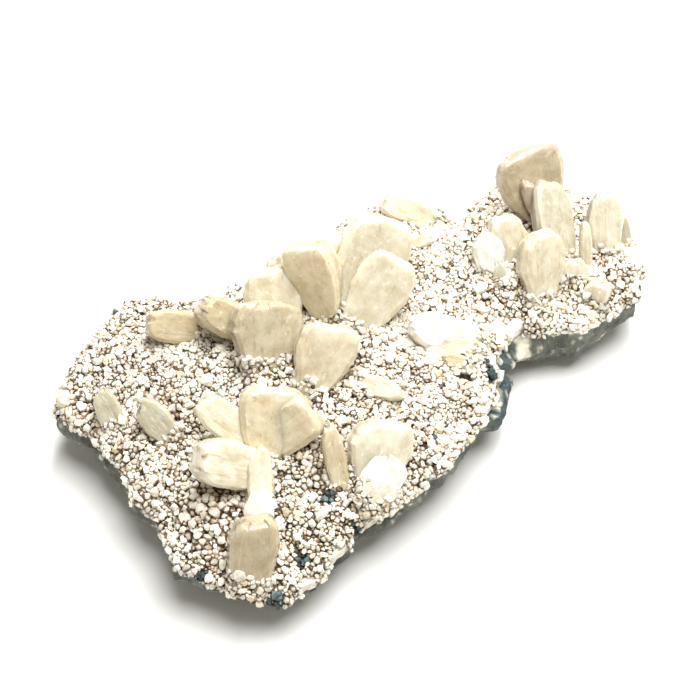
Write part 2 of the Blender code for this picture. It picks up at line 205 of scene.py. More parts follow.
# Shares by which the colour changes in clouds and from strip to strip, of painted light at the rim of
# a face and of painted shade on the sides and at the foot; and where that rim and that foot lie
MOTTLE = 0.05
MOTTLE_SCALES = (0.5, 3.0)
STRIP_TINT = 0.015
PAINTED_RIM_LIGHT = 0.06
PAINTED_SIDE_SHADE = 0.34
PAINTED_FOOT_SHADE = 0.10
PAINTED_RIM_FROM = 0.7
PAINTED_RIM_SPAN = 0.2
PAINTED_FOOT_REACH = 0.4
# Angle past which an edge of a crystal, the bed and the rock is shaded as sharp
CRYSTAL_SHARP = 20.0
BED_SHARP = 60.0
ROCK_SHARP = 22.0
# The frosting of grains at a crystal's foot: how uneven its limit is, and how far down it starts
FROST_UNEVEN = 0.9
FROST_SCALE = 0.35
FROST_BELOW = -0.4
# No grain is seated deeper in a crystal than this, whose tip is taken to thin from this share on
BLADE_MARGIN = 0.5
INSIDE_TIP_START = 0.8

# Grains of the druse: spacing and size of those of plain size, spread of the sizes, and how far
# the middle of one stands out of the crust, as a share of its size
GRAIN_SPACING = 0.78
GRAIN_SIZE = 0.70
GRAIN_SPREAD = 0.26
GRAIN_RISE = 0.15
# Shape of a grain: how blocky it is, jitter of its corners, its tilt, and the ranges of its size
# and of its length, width and height
GRAIN_BLOCKY = 3.2
GRAIN_JITTER = 0.13
GRAIN_TILT = 0.35
GRAIN_SIZES = (0.85, 1.15)
GRAIN_STRETCH = ((0.9, 1.3), (0.75, 1.0), (0.7, 1.1))
# How far the plain size drifts from place to place, and the scale of that
GRAIN_DRIFT = 0.22
GRAIN_DRIFT_SCALE = 0.12
# Places tried to the square millimetre on the crust, on the wall and on frosted crystals
CRUST_TRIES = 12.0
WALL_TRIES = 6.0
FROST_TRIES = 8.0
# Side of the cells in which neighbours are looked up
GRID_CELL = 2.0
GRAINS_PER_PIECE = 5000
# Colours of grains: white, what warmer and pinker ones lose of it, and its range of brightness;
# the share and shade of tan ones; the share of dark ones where the basalt is bare, and their colour
GRAIN_WHITE = (0.92, 0.905, 0.845)
GRAIN_WARMER = (0.0, 0.04, 0.12)
GRAIN_PINKER = (0.0, 0.02, 0.04)
PINK_SCALE = 0.13
GRAIN_BRIGHTNESS = (0.86, 1.04)
TAN_GRAINS = 0.05
TAN_SHADE = (0.84, 0.75, 0.60)
TEAL_GRAINS = 0.75
GRAIN_TEAL = (0.035, 0.070, 0.078)
TEAL_BRIGHTNESS = (0.5, 2.0)
# Painted shade in the seams between grains: the level midway between two, its slope, how much
# furrows lower it, the painted shade furrows give the grains in them, and the colour deep in a seam
SEAM_SHADE_LEVEL = 0.53
SEAM_SHADE_SLOPE = 0.9
FURROW_SEAM_SHADE = 0.38
FURROW_GRAIN_SHADE = 0.3
CREVICE_SHADE = (0.050, 0.022, 0.011)

# The crust's knobs: how many to the millimetre, their height, what knobs of each of two sizes
# add to it, the width of their slopes and that of the furrows between them
MOUND_SCALE = 0.40
MOUND_HEIGHT = 0.9
KNOB_SHARE = 0.6
SMALL_SLOPE = 0.45
LARGE_SLOPE = 0.35
SMALL_FURROW = 0.22
LARGE_FURROW = 0.16
# Where furrows get painted shade: its usual level, waves of it as share and scale, and what shady
# places and the front left add. Shady places fade out at SHADY_REACH times their radius.
FURROW_LEVEL = 0.30
FURROW_WAVES = ((0.9, 0.10), (0.5, 0.35))
FURROW_LIFT = 0.25
SHADY_SHARE = 0.8
SHADY_REACH = 1.4
FRONT_LEFT_SHARE = 0.4
FRONT_LEFT_FROM = -20.0
FRONT_LEFT_SLOPE = 0.4
FRONT_LEFT_SPAN = 30.0

# Places on the crust: x, y, radius, and for coarse ones the size of grains there. Those fade out
# at COARSE_REACH times their radius.
COARSE = [
    (-53.7, -22.0, 7.0, 1.5), (-51.0, -13.0, 3.5, 1.4), (-48.1, 13.1, 2.2, 2.4), (63, -22, 4.0, 1.3),
]
COARSE_REACH = 1.5
SMOOTH = [
    (75.9, -16.9, 3.4), (69.4, -26.8, 3.2), (61.6, -31.2, 3.0), (31.7, -17.5, 3.2),
    (35.3, -19.5, 2.6), (24.9, -23.4, 2.8), (20.0, -29.5, 2.2), (15.0, -34.0, 2.6),
    (-36.1, -45.5, 3.6), (-45.9, -46.0, 2.4), (-24.5, -41.7, 3.0), (-30.0, -43.5, 2.4),
]
# Where the basalt shows through the crust
BARE = [
    (-30.8, -32.8, 1.7), (-44.0, -40.8, 2.1), (-54.7, -45.0, 2.3), (-2.8, -35.1, 1.2),
    (-29.7, -41.5, 1.4), (20.2, -27.8, 1.5), (21.6, -25.6, 1.4), (22.8, -23.6, 1.2),
    (-64.5, -31.5, 2.2), (-50.3, 36.8, 1.3), (-39.2, 42.0, 1.2),
]
# Pits in the crust, dark brown inside
PITS = [(15.1, -25.1, 1.8), (-26.7, 17.9, 1.0), (30.5, 13.5, 1.0), (-50.3, 36.8, 1.2)]
# Places where the painted shade in the furrows between the knobs is darkest
SHADY = [
    (15, 24, 4), (17, 2, 4), (-19, 3, 3), (-14, -9, 3), (-40, -3, 5), (-52, -18, 5), (-53, -25, 5),
    (-12, -13, 4), (-29, -17, 3), (-8, -35, 3), (-57, 20, 4), (-55, 6, 4), (-45, 25, 3), (59, 6, 5),
    (54, 16, 5), (47, -1, 4), (64, -11, 3), (65, -18, 3),
]
# How ragged the edges of these places are, how sharply the bed changes there, and how deep in
# them the grains end or turn dark
ZONE_RAGGED = 0.45
ZONE_SCALE = 0.7
SMOOTH_EDGE = 3.0
BARE_EDGE = 4.0
PIT_EDGE = 3.0
SMOOTH_FROM = 0.15
BARE_FROM = 0.1
# Grains end where the crust looks down more than this
OVERHANG = -0.3

# The bed of the grains: its longest edge, its roughness, how deep it lies below the solid's face
# as a rule, where it is bare and in pits, and how much of the knobs a smooth place loses
BED_EDGE = 1.0
BED_ROUGH = 0.15
BED_ROUGH_SCALE = 2.6
BED_DEPTH = 0.12
BARE_DEPTH = 0.6
PIT_DEPTH = 1.2
SMOOTH_LOSS = 0.6
# Colours of the bed: its brown, the painted shade in its furrows, white, teal and the brown of pits
BED_BROWN = (0.30, 0.21, 0.13)
FURROW_BED_SHADE = (0.06, 0.03, 0.016)
BED_WHITE = (0.88, 0.84, 0.75)
BED_TEAL = (0.030, 0.052, 0.050)
PIT_BROWN = (0.035, 0.020, 0.011)

# The rock: its longest edge, and its hackles as height and scale of large and small chips and of
# fine roughness
ROCK_EDGE = 1.3
LARGE_CHIPS = (0.8, 0.28)
SMALL_CHIPS = (0.35, 0.7)
ROCK_ROUGH = (0.2, 1.8)
# Points of the rock lower than this lie on the floor and stay there
FLOOR_GAP = 0.05
# Height over which the hackles grow from the floor up
HACKLE_RISE = 3.0
# Where the basalt stands out below the rim, how sharply, how far and which way; below what height,
# and over what height that fades in
BULGE = [(19.0, -34.0, 7.0), (25.0, -29.0, 7.0), (31.0, -25.0, 6.0)]
BULGE_EDGE = 2.0
BULGE_OUT = 2.4
BULGE_WAY = (0.72, -0.69, 0.0)
BULGE_TOP = 16.5
BULGE_FADE = 5.0
# The white streak that runs down there, and the height above which white drips cover the wall
STREAK = [(36.0, -22.5), (33.0, -26.0), (29.5, -29.5), (26.5, -33.5)]
STREAK_WIDTH = 2.0
STREAK_FLARE = 0.05
STREAK_RAGGED = 0.5
DRIP_HEIGHT = 15.2
DRIP_SPAN = 3.0
# Waves of the drips as size and scales; their finer raggedness as size and scale
DRIP_WAVES = (1.1, 0.22, 0.22, 0.10)
DRIP_RAGGED = (0.5, 0.9)
# White specks elsewhere: their scale, how rare they are, how sharp and how white
SPECK_SCALE = 1.3
SPECK_LEVEL = 0.42
SPECK_EDGE = 6.0
SPECK_WHITE = 0.8
COAT_EDGE = 3.0
ROCK_GREY = (0.140, 0.148, 0.126)
UNDERSIDE_GREY = 0.1
ROCK_TEAL = (0.040, 0.066, 0.070)
COAT_WHITE = (0.80, 0.75, 0.62)
# Grains hang over the wall in tongues down from the same height, none below the lowest; each wave
# of the tongues has a length, a scale and a seed
TONGUE_LOWEST = 8.0
TONGUES = ((3.2, 0.16, 4.0), (1.6, 0.6, 1.0))
# A face whose normal rises more than this is part of a top, and falls more, part of an underside
TOP_NORMAL = 0.7


def smoothstep(value):
    """From 0 to 1, easing in and out."""
    value = min(max(value, 0.0), 1.0)
    return value * value * (3.0 - 2.0 * value)


def add_mesh(name, points, faces, colours=None, fibre=None):
    """An object from points in millimetres, with a colour and a texture place for each point."""
    mesh = bpy.data.meshes.new(name)
    mesh.from_pydata((np.asarray(points) * MM).tolist(), [], faces)
    if colours is not None:
        layer = mesh.color_attributes.new("tint", "FLOAT_COLOR", "POINT")
        colours = np.asarray(colours, np.float32)
        rgba = np.ones((len(points), 4), np.float32)
        rgba[:, :colours.shape[1]] = colours
        layer.data.foreach_set("color", rgba.ravel())
    if fibre is not None:
        layer = mesh.attributes.new("fibre", "FLOAT_VECTOR", "POINT")
        layer.data.foreach_set("vector", np.asarray(fibre, np.float32).ravel())
    obj = bpy.data.objects.new(name, mesh)
    bpy.context.scene.collection.objects.link(obj)
    return obj


def smooth_by_angle(mesh, degrees):
    """Smooth shading except across edges sharper than an angle."""
    shell = bmesh.new()
    shell.from_mesh(mesh)
    for face in shell.faces:
        face.smooth = True
    limit = math.radians(degrees)
    for edge in shell.edges:
        edge.smooth = edge.calc_face_angle(0.0) < limit
    shell.to_mesh(mesh)
    shell.free()


def node_surface(name):
    """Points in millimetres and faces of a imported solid."""
    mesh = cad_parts[name].data
    points = [tuple(c / MM for c in v.co) for v in mesh.vertices]
    return points, [tuple(p.vertices) for p in mesh.polygons]


# Crystals


def width_share(share, foot, tip):
    """Half-width along a crystal: narrow foot, widest past the middle, rounded tip."""
    if share < WIDEST:
        return foot + (1.0 - foot) * smoothstep(share / WIDEST)
    past = (share - WIDEST) / (1.0 - WIDEST)
    end = tip * TIP_NARROWING
    return end + (1.0 - end) * math.sqrt(max(0.0, 1.0 - past ** TIP_POWER))


def thick_share(share, foot, start):
    """Half-thickness along a crystal: growing from its foot, then rounded off at its tip."""
    if share < start:
        return foot + (1.0 - foot) * min(1.0, share / FULL_FROM)
    past = (share - start) / (1.0 - start)
    return TIP_THICK + (1.0 - TIP_THICK) * max(0.0, 1.0 - past ** TIP_CURVE) ** DROP_CURVE


def blade_frame(blade):
    """Unit vectors along a crystal, across its width and through its thickness."""
    lean, rise, turn = (math.radians(a) for a in (blade.lean, blade.rise, blade.turn))
    along = Vector((math.cos(lean) * math.cos(rise), math.sin(lean) * math.cos(rise), math.sin(rise)))
    level = Vector((-math.sin(lean), math.cos(lean), 0.0))
    upright = along.cross(level)
    across = math.cos(turn) * level + math.sin(turn) * upright
    return along, across, along.cross(across)


def face_strips(width, rng):
    """Points across a face made of strips: place, place on the strip, its height and its end."""
    count = max(3, round(width / STRIP_WIDTH))
    shifts = [rng.uniform(-STRIP_UNEVEN, STRIP_UNEVEN) for _ in range(1, count)]
    cuts = [-1.0] + [-1.0 + 2.0 * (i + shift) / count for i, shift in enumerate(shifts, start=1)] + [1.0]
    places = []
    for low, high in zip(cuts, cuts[1:]):
        height, back = rng.uniform(-1.0, 1.0), rng.random() ** 2
        for local in STRIP_POINTS:
            places.append((0.5 * (low + high) + 0.5 * (high - low) * local, local, height, back))
    places[0] = (-1.0, *places[0][1:])
    places[-1] = (1.0, *places[-1][1:])
    return places


def blade_section(width, rng):
    """Points around a crystal: across, face or side, strip place, height and end, thinning."""
    section = []
    for front in (1, -1):
        strips = face_strips(width, rng)
        tip_start = rng.uniform(*TIP_START)
        section += [(front * a, front, *rest, tip_start) for a, *rest in reversed(strips)]
        section += [(-front, front * level, 0.0, 0.0, 0.0, tip_start) for level in SIDE_POINTS]
    return section


def make_blade(blade, start, rng):
    """Points, faces, colours with painted light and shade, and texture places of one crystal."""
    along, across, through = blade_frame(blade)
    length = blade.length + ROOT_DEPTH
    shift = Vector([rng.uniform(0, 100) for _ in range(3)])
    tint = np.array(TINTS[blade.tint])
    section = blade_section(blade.width, rng)

    def ripple(*place):
        return noise.noise(Vector(place) + shift)

    points, fibre, colours = [], [], []
    for share in RINGS:
        near_tip = smoothstep((share - JAG_FROM) / JAG_SPAN)
        half = 0.5 * blade.width * width_share(share, blade.foot, blade.tip)
        for a, front, local, height, back, tip_start in section:
            side = 1 if a > 0 else -1
            uneven = ripple(share * EDGE_WAVES, SIDES_APART * side, 0.0)
            uneven += 0.5 * ripple(share * EDGE_NICKS, SIDES_APART * side, 9.0)
            x = a * half * (1.0 + OUTLINE_UNEVEN * uneven)
            thick = 0.5 * blade.thick * thick_share(share, 0.5 + 0.5 * blade.foot, tip_start)
            on_side = abs(front) < 1
            if on_side:
                y = front * SIDE_THICK * thick
                x += side * STRIATION * ripple(STRIATION_SCALES[0] * y, STRIATION_SCALES[1] * share, 1.0)
            else:
                dome = SIDE_THICK + (1.0 - SIDE_THICK) * max(0.0, 1.0 - abs(a) ** SIDE_CURVE) ** DROP_CURVE
                relief = STRIP_STEP * height + STRIP_ROUND * (1.0 - local * local)
                relief += FACE_RELIEF * ripple(RELIEF_SCALES[0] * x, RELIEF_SCALES[1] * share, front)
                y = front * (thick * dome + relief * (1.0 - a ** SIDE_CURVE) * (1.0 - share ** 6))
            reach = share * length - 0.5 * blade.slant * blade.width * a * near_tip
            reach -= STRIP_BACK * back * near_tip * near_tip
            for size, scale, apart, seed in TIP_JAGS:
                reach += size * near_tip * ripple(scale * x, apart * front, seed)
            spread = math.radians(a * blade.fan)
            point = start + reach * math.cos(spread) * along
            points.append(point + (x + reach * math.sin(spread)) * across + y * through)
            fibre.append(Vector((x, y, reach)) + shift * 10.0)
            mottle = ripple(MOTTLE_SCALES[0] * x, MOTTLE_SCALES[0] * y, MOTTLE_SCALES[1] * share)
            light = 1.0 + MOTTLE * mottle
            # Painted light at the rim of a face, painted shade on the side faces and towards the foot
            light += PAINTED_RIM_LIGHT * smoothstep((max(share, abs(a)) - PAINTED_RIM_FROM) / PAINTED_RIM_SPAN)
            light -= PAINTED_SIDE_SHADE if on_side else 0.0
            light -= PAINTED_FOOT_SHADE * smoothstep((PAINTED_FOOT_REACH - share) / PAINTED_FOOT_REACH)
            colours.append(tint * (light + STRIP_TINT * height))
    count = len(section)
    faces = [tuple(reversed(range(count)))]
    for ring in range(len(RINGS) - 1):
        for i in range(count):
            j = (i + 1) % count
            low, high = ring * count, (ring + 1) * count
            faces.append((low + i, low + j, high + j, high + i))
    last = len(points) - count
    faces.append(tuple(range(last, last + count)))
    return points, faces, colours, fibre


def inside_blade(place, blade, start, vectors):
    """Whether a place lies inside a crystal, more than a margin deep."""
    along, across, through = vectors
    offset = place - start
    length = blade.length + ROOT_DEPTH
    reach = offset.dot(along)
    if not 0.0 < reach < length:
        return False
    share = reach / length
    wide = 0.5 * blade.width * width_share(share, blade.foot, blade.tip) - BLADE_MARGIN
    wide += reach * math.tan(math.radians(blade.fan))
    foot = 0.5 + 0.5 * blade.foot
    thick = 0.5 * blade.thick * thick_share(share, foot, INSIDE_TIP_START) - BLADE_MARGIN
    return abs(offset.dot(across)) < wide and abs(offset.dot(through)) < thick


def frosted(face, points, blade, start, along):
    """Whether a face of a crystal lies where grains climb up its foot."""
    middle = sum((points[i] for i in face), Vector()) / len(face)
    share = ((middle - start).dot(along) - ROOT_DEPTH) / (blade.length + ROOT_DEPTH)
    limit = blade.frost * (1.0 + FROST_UNEVEN * noise.noise(middle * FROST_SCALE))
    return FROST_BELOW < share < limit and len(face) == 4


def make_crystals(crust_tree):
    """A piece for each packed crystal solid; also where each crystal starts, and its frosting."""
    rng = random.Random(SEED)
    starts, frost_points, frost_faces = [], [], []
    for node, blades in CRYSTALS.items():
        points, faces, colours, fibre = [], [], [], []
        for blade in blades:
            vectors = blade_frame(blade)
            hit = crust_tree.ray_cast(Vector((blade.x, blade.y, RAY_HEIGHT)), Vector((0, 0, -1)))[0]
            start = hit - ROOT_DEPTH * vectors[0]
            starts.append((blade, start, vectors))
            new_points, new_faces, new_colours, new_fibre = make_blade(blade, start, rng)
            shift = len(points)
            points += new_points
            colours += new_colours
            fibre += new_fibre
            faces += [tuple(i + shift for i in face) for face in new_faces]
            shift = len(frost_points)
            frost_points += new_points
            frost_faces += [tuple(i + shift for i in face) for face in new_faces
                            if frosted(face, new_points, blade, start, vectors[0])]
        obj = add_mesh(node.replace("stilbite_", "crystals_"), points, faces, colours, fibre)
        shell = bmesh.new()
        shell.from_mesh(obj.data)
        bmesh.ops.recalc_face_normals(shell, faces=shell.faces)
        shell.to_mesh(obj.data)
        shell.free()
        smooth_by_angle(obj.data, CRYSTAL_SHARP)
        obj.data.materials.append(STILBITE)
        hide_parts(node)
        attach(obj, "root")
    return starts, frost_points, frost_faces


# Druse


def zone_share(x, y, zones):
    """How deep a place lies in the nearest of some round zones with ragged edges."""
    ragged = ZONE_RAGGED * noise.noise(Vector((x * ZONE_SCALE, y * ZONE_SCALE, 2.0)))
    return max(1.0 - math.hypot(x - zx, y - zy) / radius + ragged for zx, zy, radius in zones)


def grain_scale(x, y):
    """Size of the druse's grains at a place, as a share of the plain size."""
    drift = noise.noise(Vector((x * GRAIN_DRIFT_SCALE, y * GRAIN_DRIFT_SCALE, 8.0)))
    scale = 1.0 + GRAIN_DRIFT * drift
    for zx, zy, radius, factor in COARSE:
        scale += (factor - 1.0) * smoothstep(COARSE_REACH - math.hypot(x - zx, y - zy) / radius)
    return scale


def furrow_shade(place):
    """How dark the painted shade in the furrows between the crust's knobs is at a place."""
    shade = FURROW_LEVEL
    for share, scale in FURROW_WAVES:
        shade += share * noise.noise(place * scale)
    left = (FRONT_LEFT_FROM - place.x - FRONT_LEFT_SLOPE * place.y) / FRONT_LEFT_SPAN
    shade += FRONT_LEFT_SHARE * smoothstep(left)
    near = max(SHADY_REACH - math.hypot(place.x - x, place.y - y) / radius for x, y, radius in SHADY)
    return smoothstep(shade + SHADY_SHARE * smoothstep(near) + FURROW_LIFT)


def mound(place):
    """Height of the crust's knobs at a place, and how much painted shade it gets near the furrow between
    two.
    """
    nearest = noise.voronoi(place * MOUND_SCALE)[0]
    inward = nearest[1] - nearest[0]
    coarse = noise.voronoi(place * 0.5 * MOUND_SCALE)[0]
    inward_coarse = coarse[1] - coarse[0]
    knobs = KNOB_SHARE * smoothstep(inward / SMALL_SLOPE)
    knobs += KNOB_SHARE * smoothstep(inward_coarse / LARGE_SLOPE)
    furrow = max(1.0 - inward / SMALL_FURROW, 1.0 - inward_coarse / LARGE_FURROW)
    return MOUND_HEIGHT * (knobs - KNOB_SHARE), min(max(furrow * furrow_shade(place), 0.0), 1.0)


def on_crust(spot, normal):
    """Whether grains sit at a place on the crust."""
    x, y, _ = spot
    if normal[2] < OVERHANG:
        return False
    return zone_share(x, y, SMOOTH) < SMOOTH_FROM and zone_share(x, y, PITS) < 0.0


def on_upper_wall(spot, normal):
    """Where the druse hangs over the top of the basalt's wall, in tongues."""
    x, y, z = spot
    if normal[2] > TOP_NORMAL or z < TONGUE_LOWEST:
        return False
    tongue = sum(length * noise.noise(Vector((x * scale, y * scale, seed)))
                 for length, scale, seed in TONGUES)
    return z > DRIP_HEIGHT - tongue


def scatter(points, faces, tries, rng):
    """Random places on a surface, with the normal at each."""
    corners = np.array([[points[i] for i in face[:3]] for face in faces])
    crosses = np.cross(corners[:, 1] - corners[:, 0], corners[:, 2] - corners[:, 0])
    areas = 0.5 * np.linalg.norm(crosses, axis=1)
    total = areas.sum()
    count = int(total * tries)
    picks = rng.choice(len(faces), count, p=areas / total)
    u, v = rng.random(count), rng.random(count)
    over = u + v > 1.0
    u[over], v[over] = 1.0 - u[over], 1.0 - v[over]
    tri = corners[picks]
    spots = tri[:, 0] + u[:, None] * (tri[:, 1] - tri[:, 0]) + v[:, None] * (tri[:, 2] - tri[:, 0])
    normals = crosses[picks] / (2.0 * areas[picks, None])
    return zip(spots.tolist(), normals.tolist())


def seat_grains(surfaces, starts, rng):
    """Places for grains over some surfaces, none closer to another than its size allows."""
    grid, seats = {}, []
    for points, faces, allowed, tries in surfaces:
        for spot, normal in scatter(points, faces, tries, rng):
            if allowed and not allowed(spot, normal):
                continue
            scale = grain_scale(spot[0], spot[1]) * math.exp(GRAIN_SPREAD * rng.normal())
            step = GRAIN_SPACING * scale
            cell = tuple(int(c // GRID_CELL) for c in spot)
            reach = 1 if step < GRID_CELL else 2
            span = range(-reach, reach + 1)
            near = (q for i in span for j in span for k in span
                    for q in grid.get((cell[0] + i, cell[1] + j, cell[2] + k), ()))
            if any(math.dist(spot, q[0]) < 0.5 * (step + q[1]) for q in near):
                continue
            place = Vector(spot) + mound(Vector(spot))[0] * Vector(normal)
            if any(inside_blade(place, *start) for start in starts):
                continue
            grid.setdefault(cell, []).append((spot, step))
            seats.append((place, Vector(normal), scale))
    return seats


def grain_template():
    """A rounded block that narrows to a point where it is sunk: its points and faces."""
    square = [(i, j) for i in (-1, 0, 1) for j in (-1, 0, 1)]
    ring = [(-1, -1), (0, -1), (1, -1), (1, 0), (1, 1), (0, 1), (-1, 1), (-1, 0)]
    keys = [(i, j, 1) for i, j in square] + [(i, j, 0) for i, j in ring] + [(0, 0, -1)]
    points = []
    for key in keys:
        size = sum(abs(c) ** GRAIN_BLOCKY for c in key) ** (1.0 / GRAIN_BLOCKY)
        points.append([c / size for c in key])
    top = {place: n for n, place in enumerate(square)}
    faces = [
        (top[i, j], top[i + 1, j], top[i + 1, j + 1], top[i, j + 1]) for i in (-1, 0) for j in (-1, 0)
    ]
    waist, lowest = len(square), len(keys) - 1
    for n, place in enumerate(ring):
        after = (n + 1) % len(ring)
        faces.append((waist + n, waist + after, top[ring[after]], top[place]))
        faces.append((waist + after, waist + n, lowest))
    return np.array(points), faces


def grain_tint(place, rng):
    """Colour of a grain: mostly white, some tan, and some of bare basalt where it shows."""
    warm, pink = rng.random(), noise.noise(place * PINK_SCALE)
    tint = np.array(GRAIN_WHITE) - warm * np.array(GRAIN_WARMER) - pink * np.array(GRAIN_PINKER)
    tint *= rng.uniform(*GRAIN_BRIGHTNESS)
    if rng.random() < TAN_GRAINS:
        tint *= np.array(TAN_SHADE)
    if zone_share(place.x, place.y, BARE) > BARE_FROM and rng.random() < TEAL_GRAINS:
        tint = np.array(GRAIN_TEAL) * rng.uniform(*TEAL_BRIGHTNESS)
    return tint


def make_grains(seats, rng):
    """The grains as rough blocks, some thousands to a piece, with painted shade where they meet each
    other.
    """
    template, template_faces = grain_template()
    count = len(template)
    place_tree = KDTree(len(seats))
    for n, (place, _, _) in enumerate(seats):
        place_tree.insert(place, n)
    place_tree.balance()
    for piece in range(0, len(seats), GRAINS_PER_PIECE):
        batch = seats[piece:piece + GRAINS_PER_PIECE]
        points = np.empty((len(batch) * count, 3))
        colours = np.empty((len(batch) * count, 4))
        fibre = np.empty((len(batch) * count, 3))
        for n, (place, normal, scale) in enumerate(batch):
            up = (normal + GRAIN_TILT * Vector(rng.normal(size=3))).normalized()
            side = up.orthogonal().normalized()
            yaw = rng.uniform(0.0, 2.0 * math.pi)
            side = math.cos(yaw) * side + math.sin(yaw) * up.cross(side)
            axes = np.array([side, up.cross(side), up])
            size = GRAIN_SIZE * scale * rng.uniform(*GRAIN_SIZES)
            stretch = size * np.array([rng.uniform(*ends) for ends in GRAIN_STRETCH])
            local = template * stretch * (1.0 + GRAIN_JITTER * rng.normal(size=(count, 1)))
            base = np.array(place) + GRAIN_RISE * size * np.array(normal)
            rows = slice(n * count, (n + 1) * count)
            points[rows] = local @ axes + base
            # Painted shade for grains in the furrows between knobs
            furrow = mound(place)[1]
            colours[rows, :3] = grain_tint(place, rng) * (1.0 - FURROW_GRAIN_SHADE * furrow)
            # The alpha carries painted shade where a grain's corners come near a neighbour
            for row, point in enumerate(points[rows].tolist(), start=n * count):
                own = (Vector(point) - place).length / scale
                found = place_tree.find_n(point, 4)
                apart = min(d / seats[i][2] for _, i, d in found if i != piece + n) - own
                colours[row, 3] = SEAM_SHADE_LEVEL + SEAM_SHADE_SLOPE * apart - FURROW_SEAM_SHADE * furrow
            fibre[rows] = local + rng.uniform(0, 50, 3)
        faces = [tuple(i + n * count for i in face) for n in range(len(batch)) for face in template_faces]
        obj = add_mesh(f"druse_grains_{piece // GRAINS_PER_PIECE + 1}", points, faces, colours, fibre)
        obj.data.materials.append(GRAIN)
        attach(obj, "root")


def refine(name, points, faces, longest, keep, rounds=4):
    """A copy of a solid's surface with long edges cut in rounds, but not between faces to keep."""
    mesh = bpy.data.meshes.new(name)
    mesh.from_pydata(points, [], faces)
    shell = bmesh.new()
    shell.from_mesh(mesh)
    bmesh.ops.remove_doubles(shell, verts=shell.verts, dist=1e-4)
    for _ in range(rounds):
        long = [e for e in shell.edges
                if e.calc_length() > longest and not all(keep(f) for f in e.link_faces)]
        if not long:
            break
        bmesh.ops.subdivide_edges(shell, edges=long, cuts=1)
        bmesh.ops.triangulate(shell, faces=shell.faces)
    shell.normal_update()
    shell.verts.index_update()
    new_points = np.array([v.co for v in shell.verts])
    normals = np.array([v.normal for v in shell.verts])
    new_faces = [tuple(v.index for v in f.verts) for f in shell.faces]
    shell.free()
    bpy.data.meshes.remove(mesh)
    return new_points, normals, new_faces


def make_bed(points, faces):
    """The skin that the grains sit in: brown between them with painted shade in the furrows, white or bare
    basalt in places.
    """
    new_points, normals, new_faces = refine(
        "bed", points, faces, BED_EDGE, lambda face: face.normal.z < -0.5)
    brown, furrow_bed_shade, white, teal, pit_brown = (
        np.array(c) for c in (BED_BROWN, FURROW_BED_SHADE, BED_WHITE, BED_TEAL, PIT_BROWN))
    colours = np.empty((len(new_points), 3))
    for n, (point, normal) in enumerate(zip(new_points, normals)):
        x, y, _ = point
        smooth_here = smoothstep(zone_share(x, y, SMOOTH) * SMOOTH_EDGE)
        bare_here = smoothstep(zone_share(x, y, BARE) * BARE_EDGE)
        pit_here = smoothstep(zone_share(x, y, PITS) * PIT_EDGE)
        knob, furrow = mound(Vector(point))
        rough = knob + noise.noise(Vector(point) * BED_ROUGH_SCALE) * BED_ROUGH
        sunk = BED_DEPTH + BARE_DEPTH * bare_here + PIT_DEPTH * pit_here
        new_points[n] = point + normal * (rough * (1.0 - SMOOTH_LOSS * smooth_here) - sunk)
        # Painted shade in the furrows between the knobs
        colour = brown * (1.0 - furrow) + furrow_bed_shade * furrow
        for there, share in ((white, smooth_here), (teal, bare_here), (pit_brown, pit_here)):
            colour = colour * (1.0 - share) + there * share
        colours[n] = colour
    obj = add_mesh("druse_bed", new_points, new_faces, colours, new_points)
    smooth_by_angle(obj.data, BED_SHARP)
    obj.data.materials.append(BED)
    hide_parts("druse_crust")
    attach(obj, "root")


# Basalt


def white_coat(x, y, z):
    """How much of the white crust has run down the basalt at a place on its wall."""
    place = Vector((x, y, z))
    near = min(math.hypot(x - sx, y - sy) for sx, sy in STREAK)
    streak = 1.0 - near / (STREAK_WIDTH + STREAK_FLARE * z)
    streak += STREAK_RAGGED * noise.noise(place * STREAK_RAGGED)
    size, *scales = DRIP_WAVES
    drips = (z - DRIP_HEIGHT) / DRIP_SPAN + size * noise.noise(place * Vector(scales))
    drips += DRIP_RAGGED[0] * noise.noise(place * DRIP_RAGGED[1])
    specks = smoothstep((noise.noise(place * SPECK_SCALE) - SPECK_LEVEL) * SPECK_EDGE)
    runs = max(smoothstep(streak * COAT_EDGE), smoothstep(drips * COAT_EDGE))
    return min(1.0, max(runs, SPECK_WHITE * specks))


def hackle(place):
    """How far the broken face of the rock stands out or in at a place."""
    height = 0.0
    for share, scale in (LARGE_CHIPS, SMALL_CHIPS):
        height += share * (noise.voronoi(place * scale)[0][0] - 0.5)
    return height + ROCK_ROUGH[0] * noise.noise(place * ROCK_ROUGH[1])


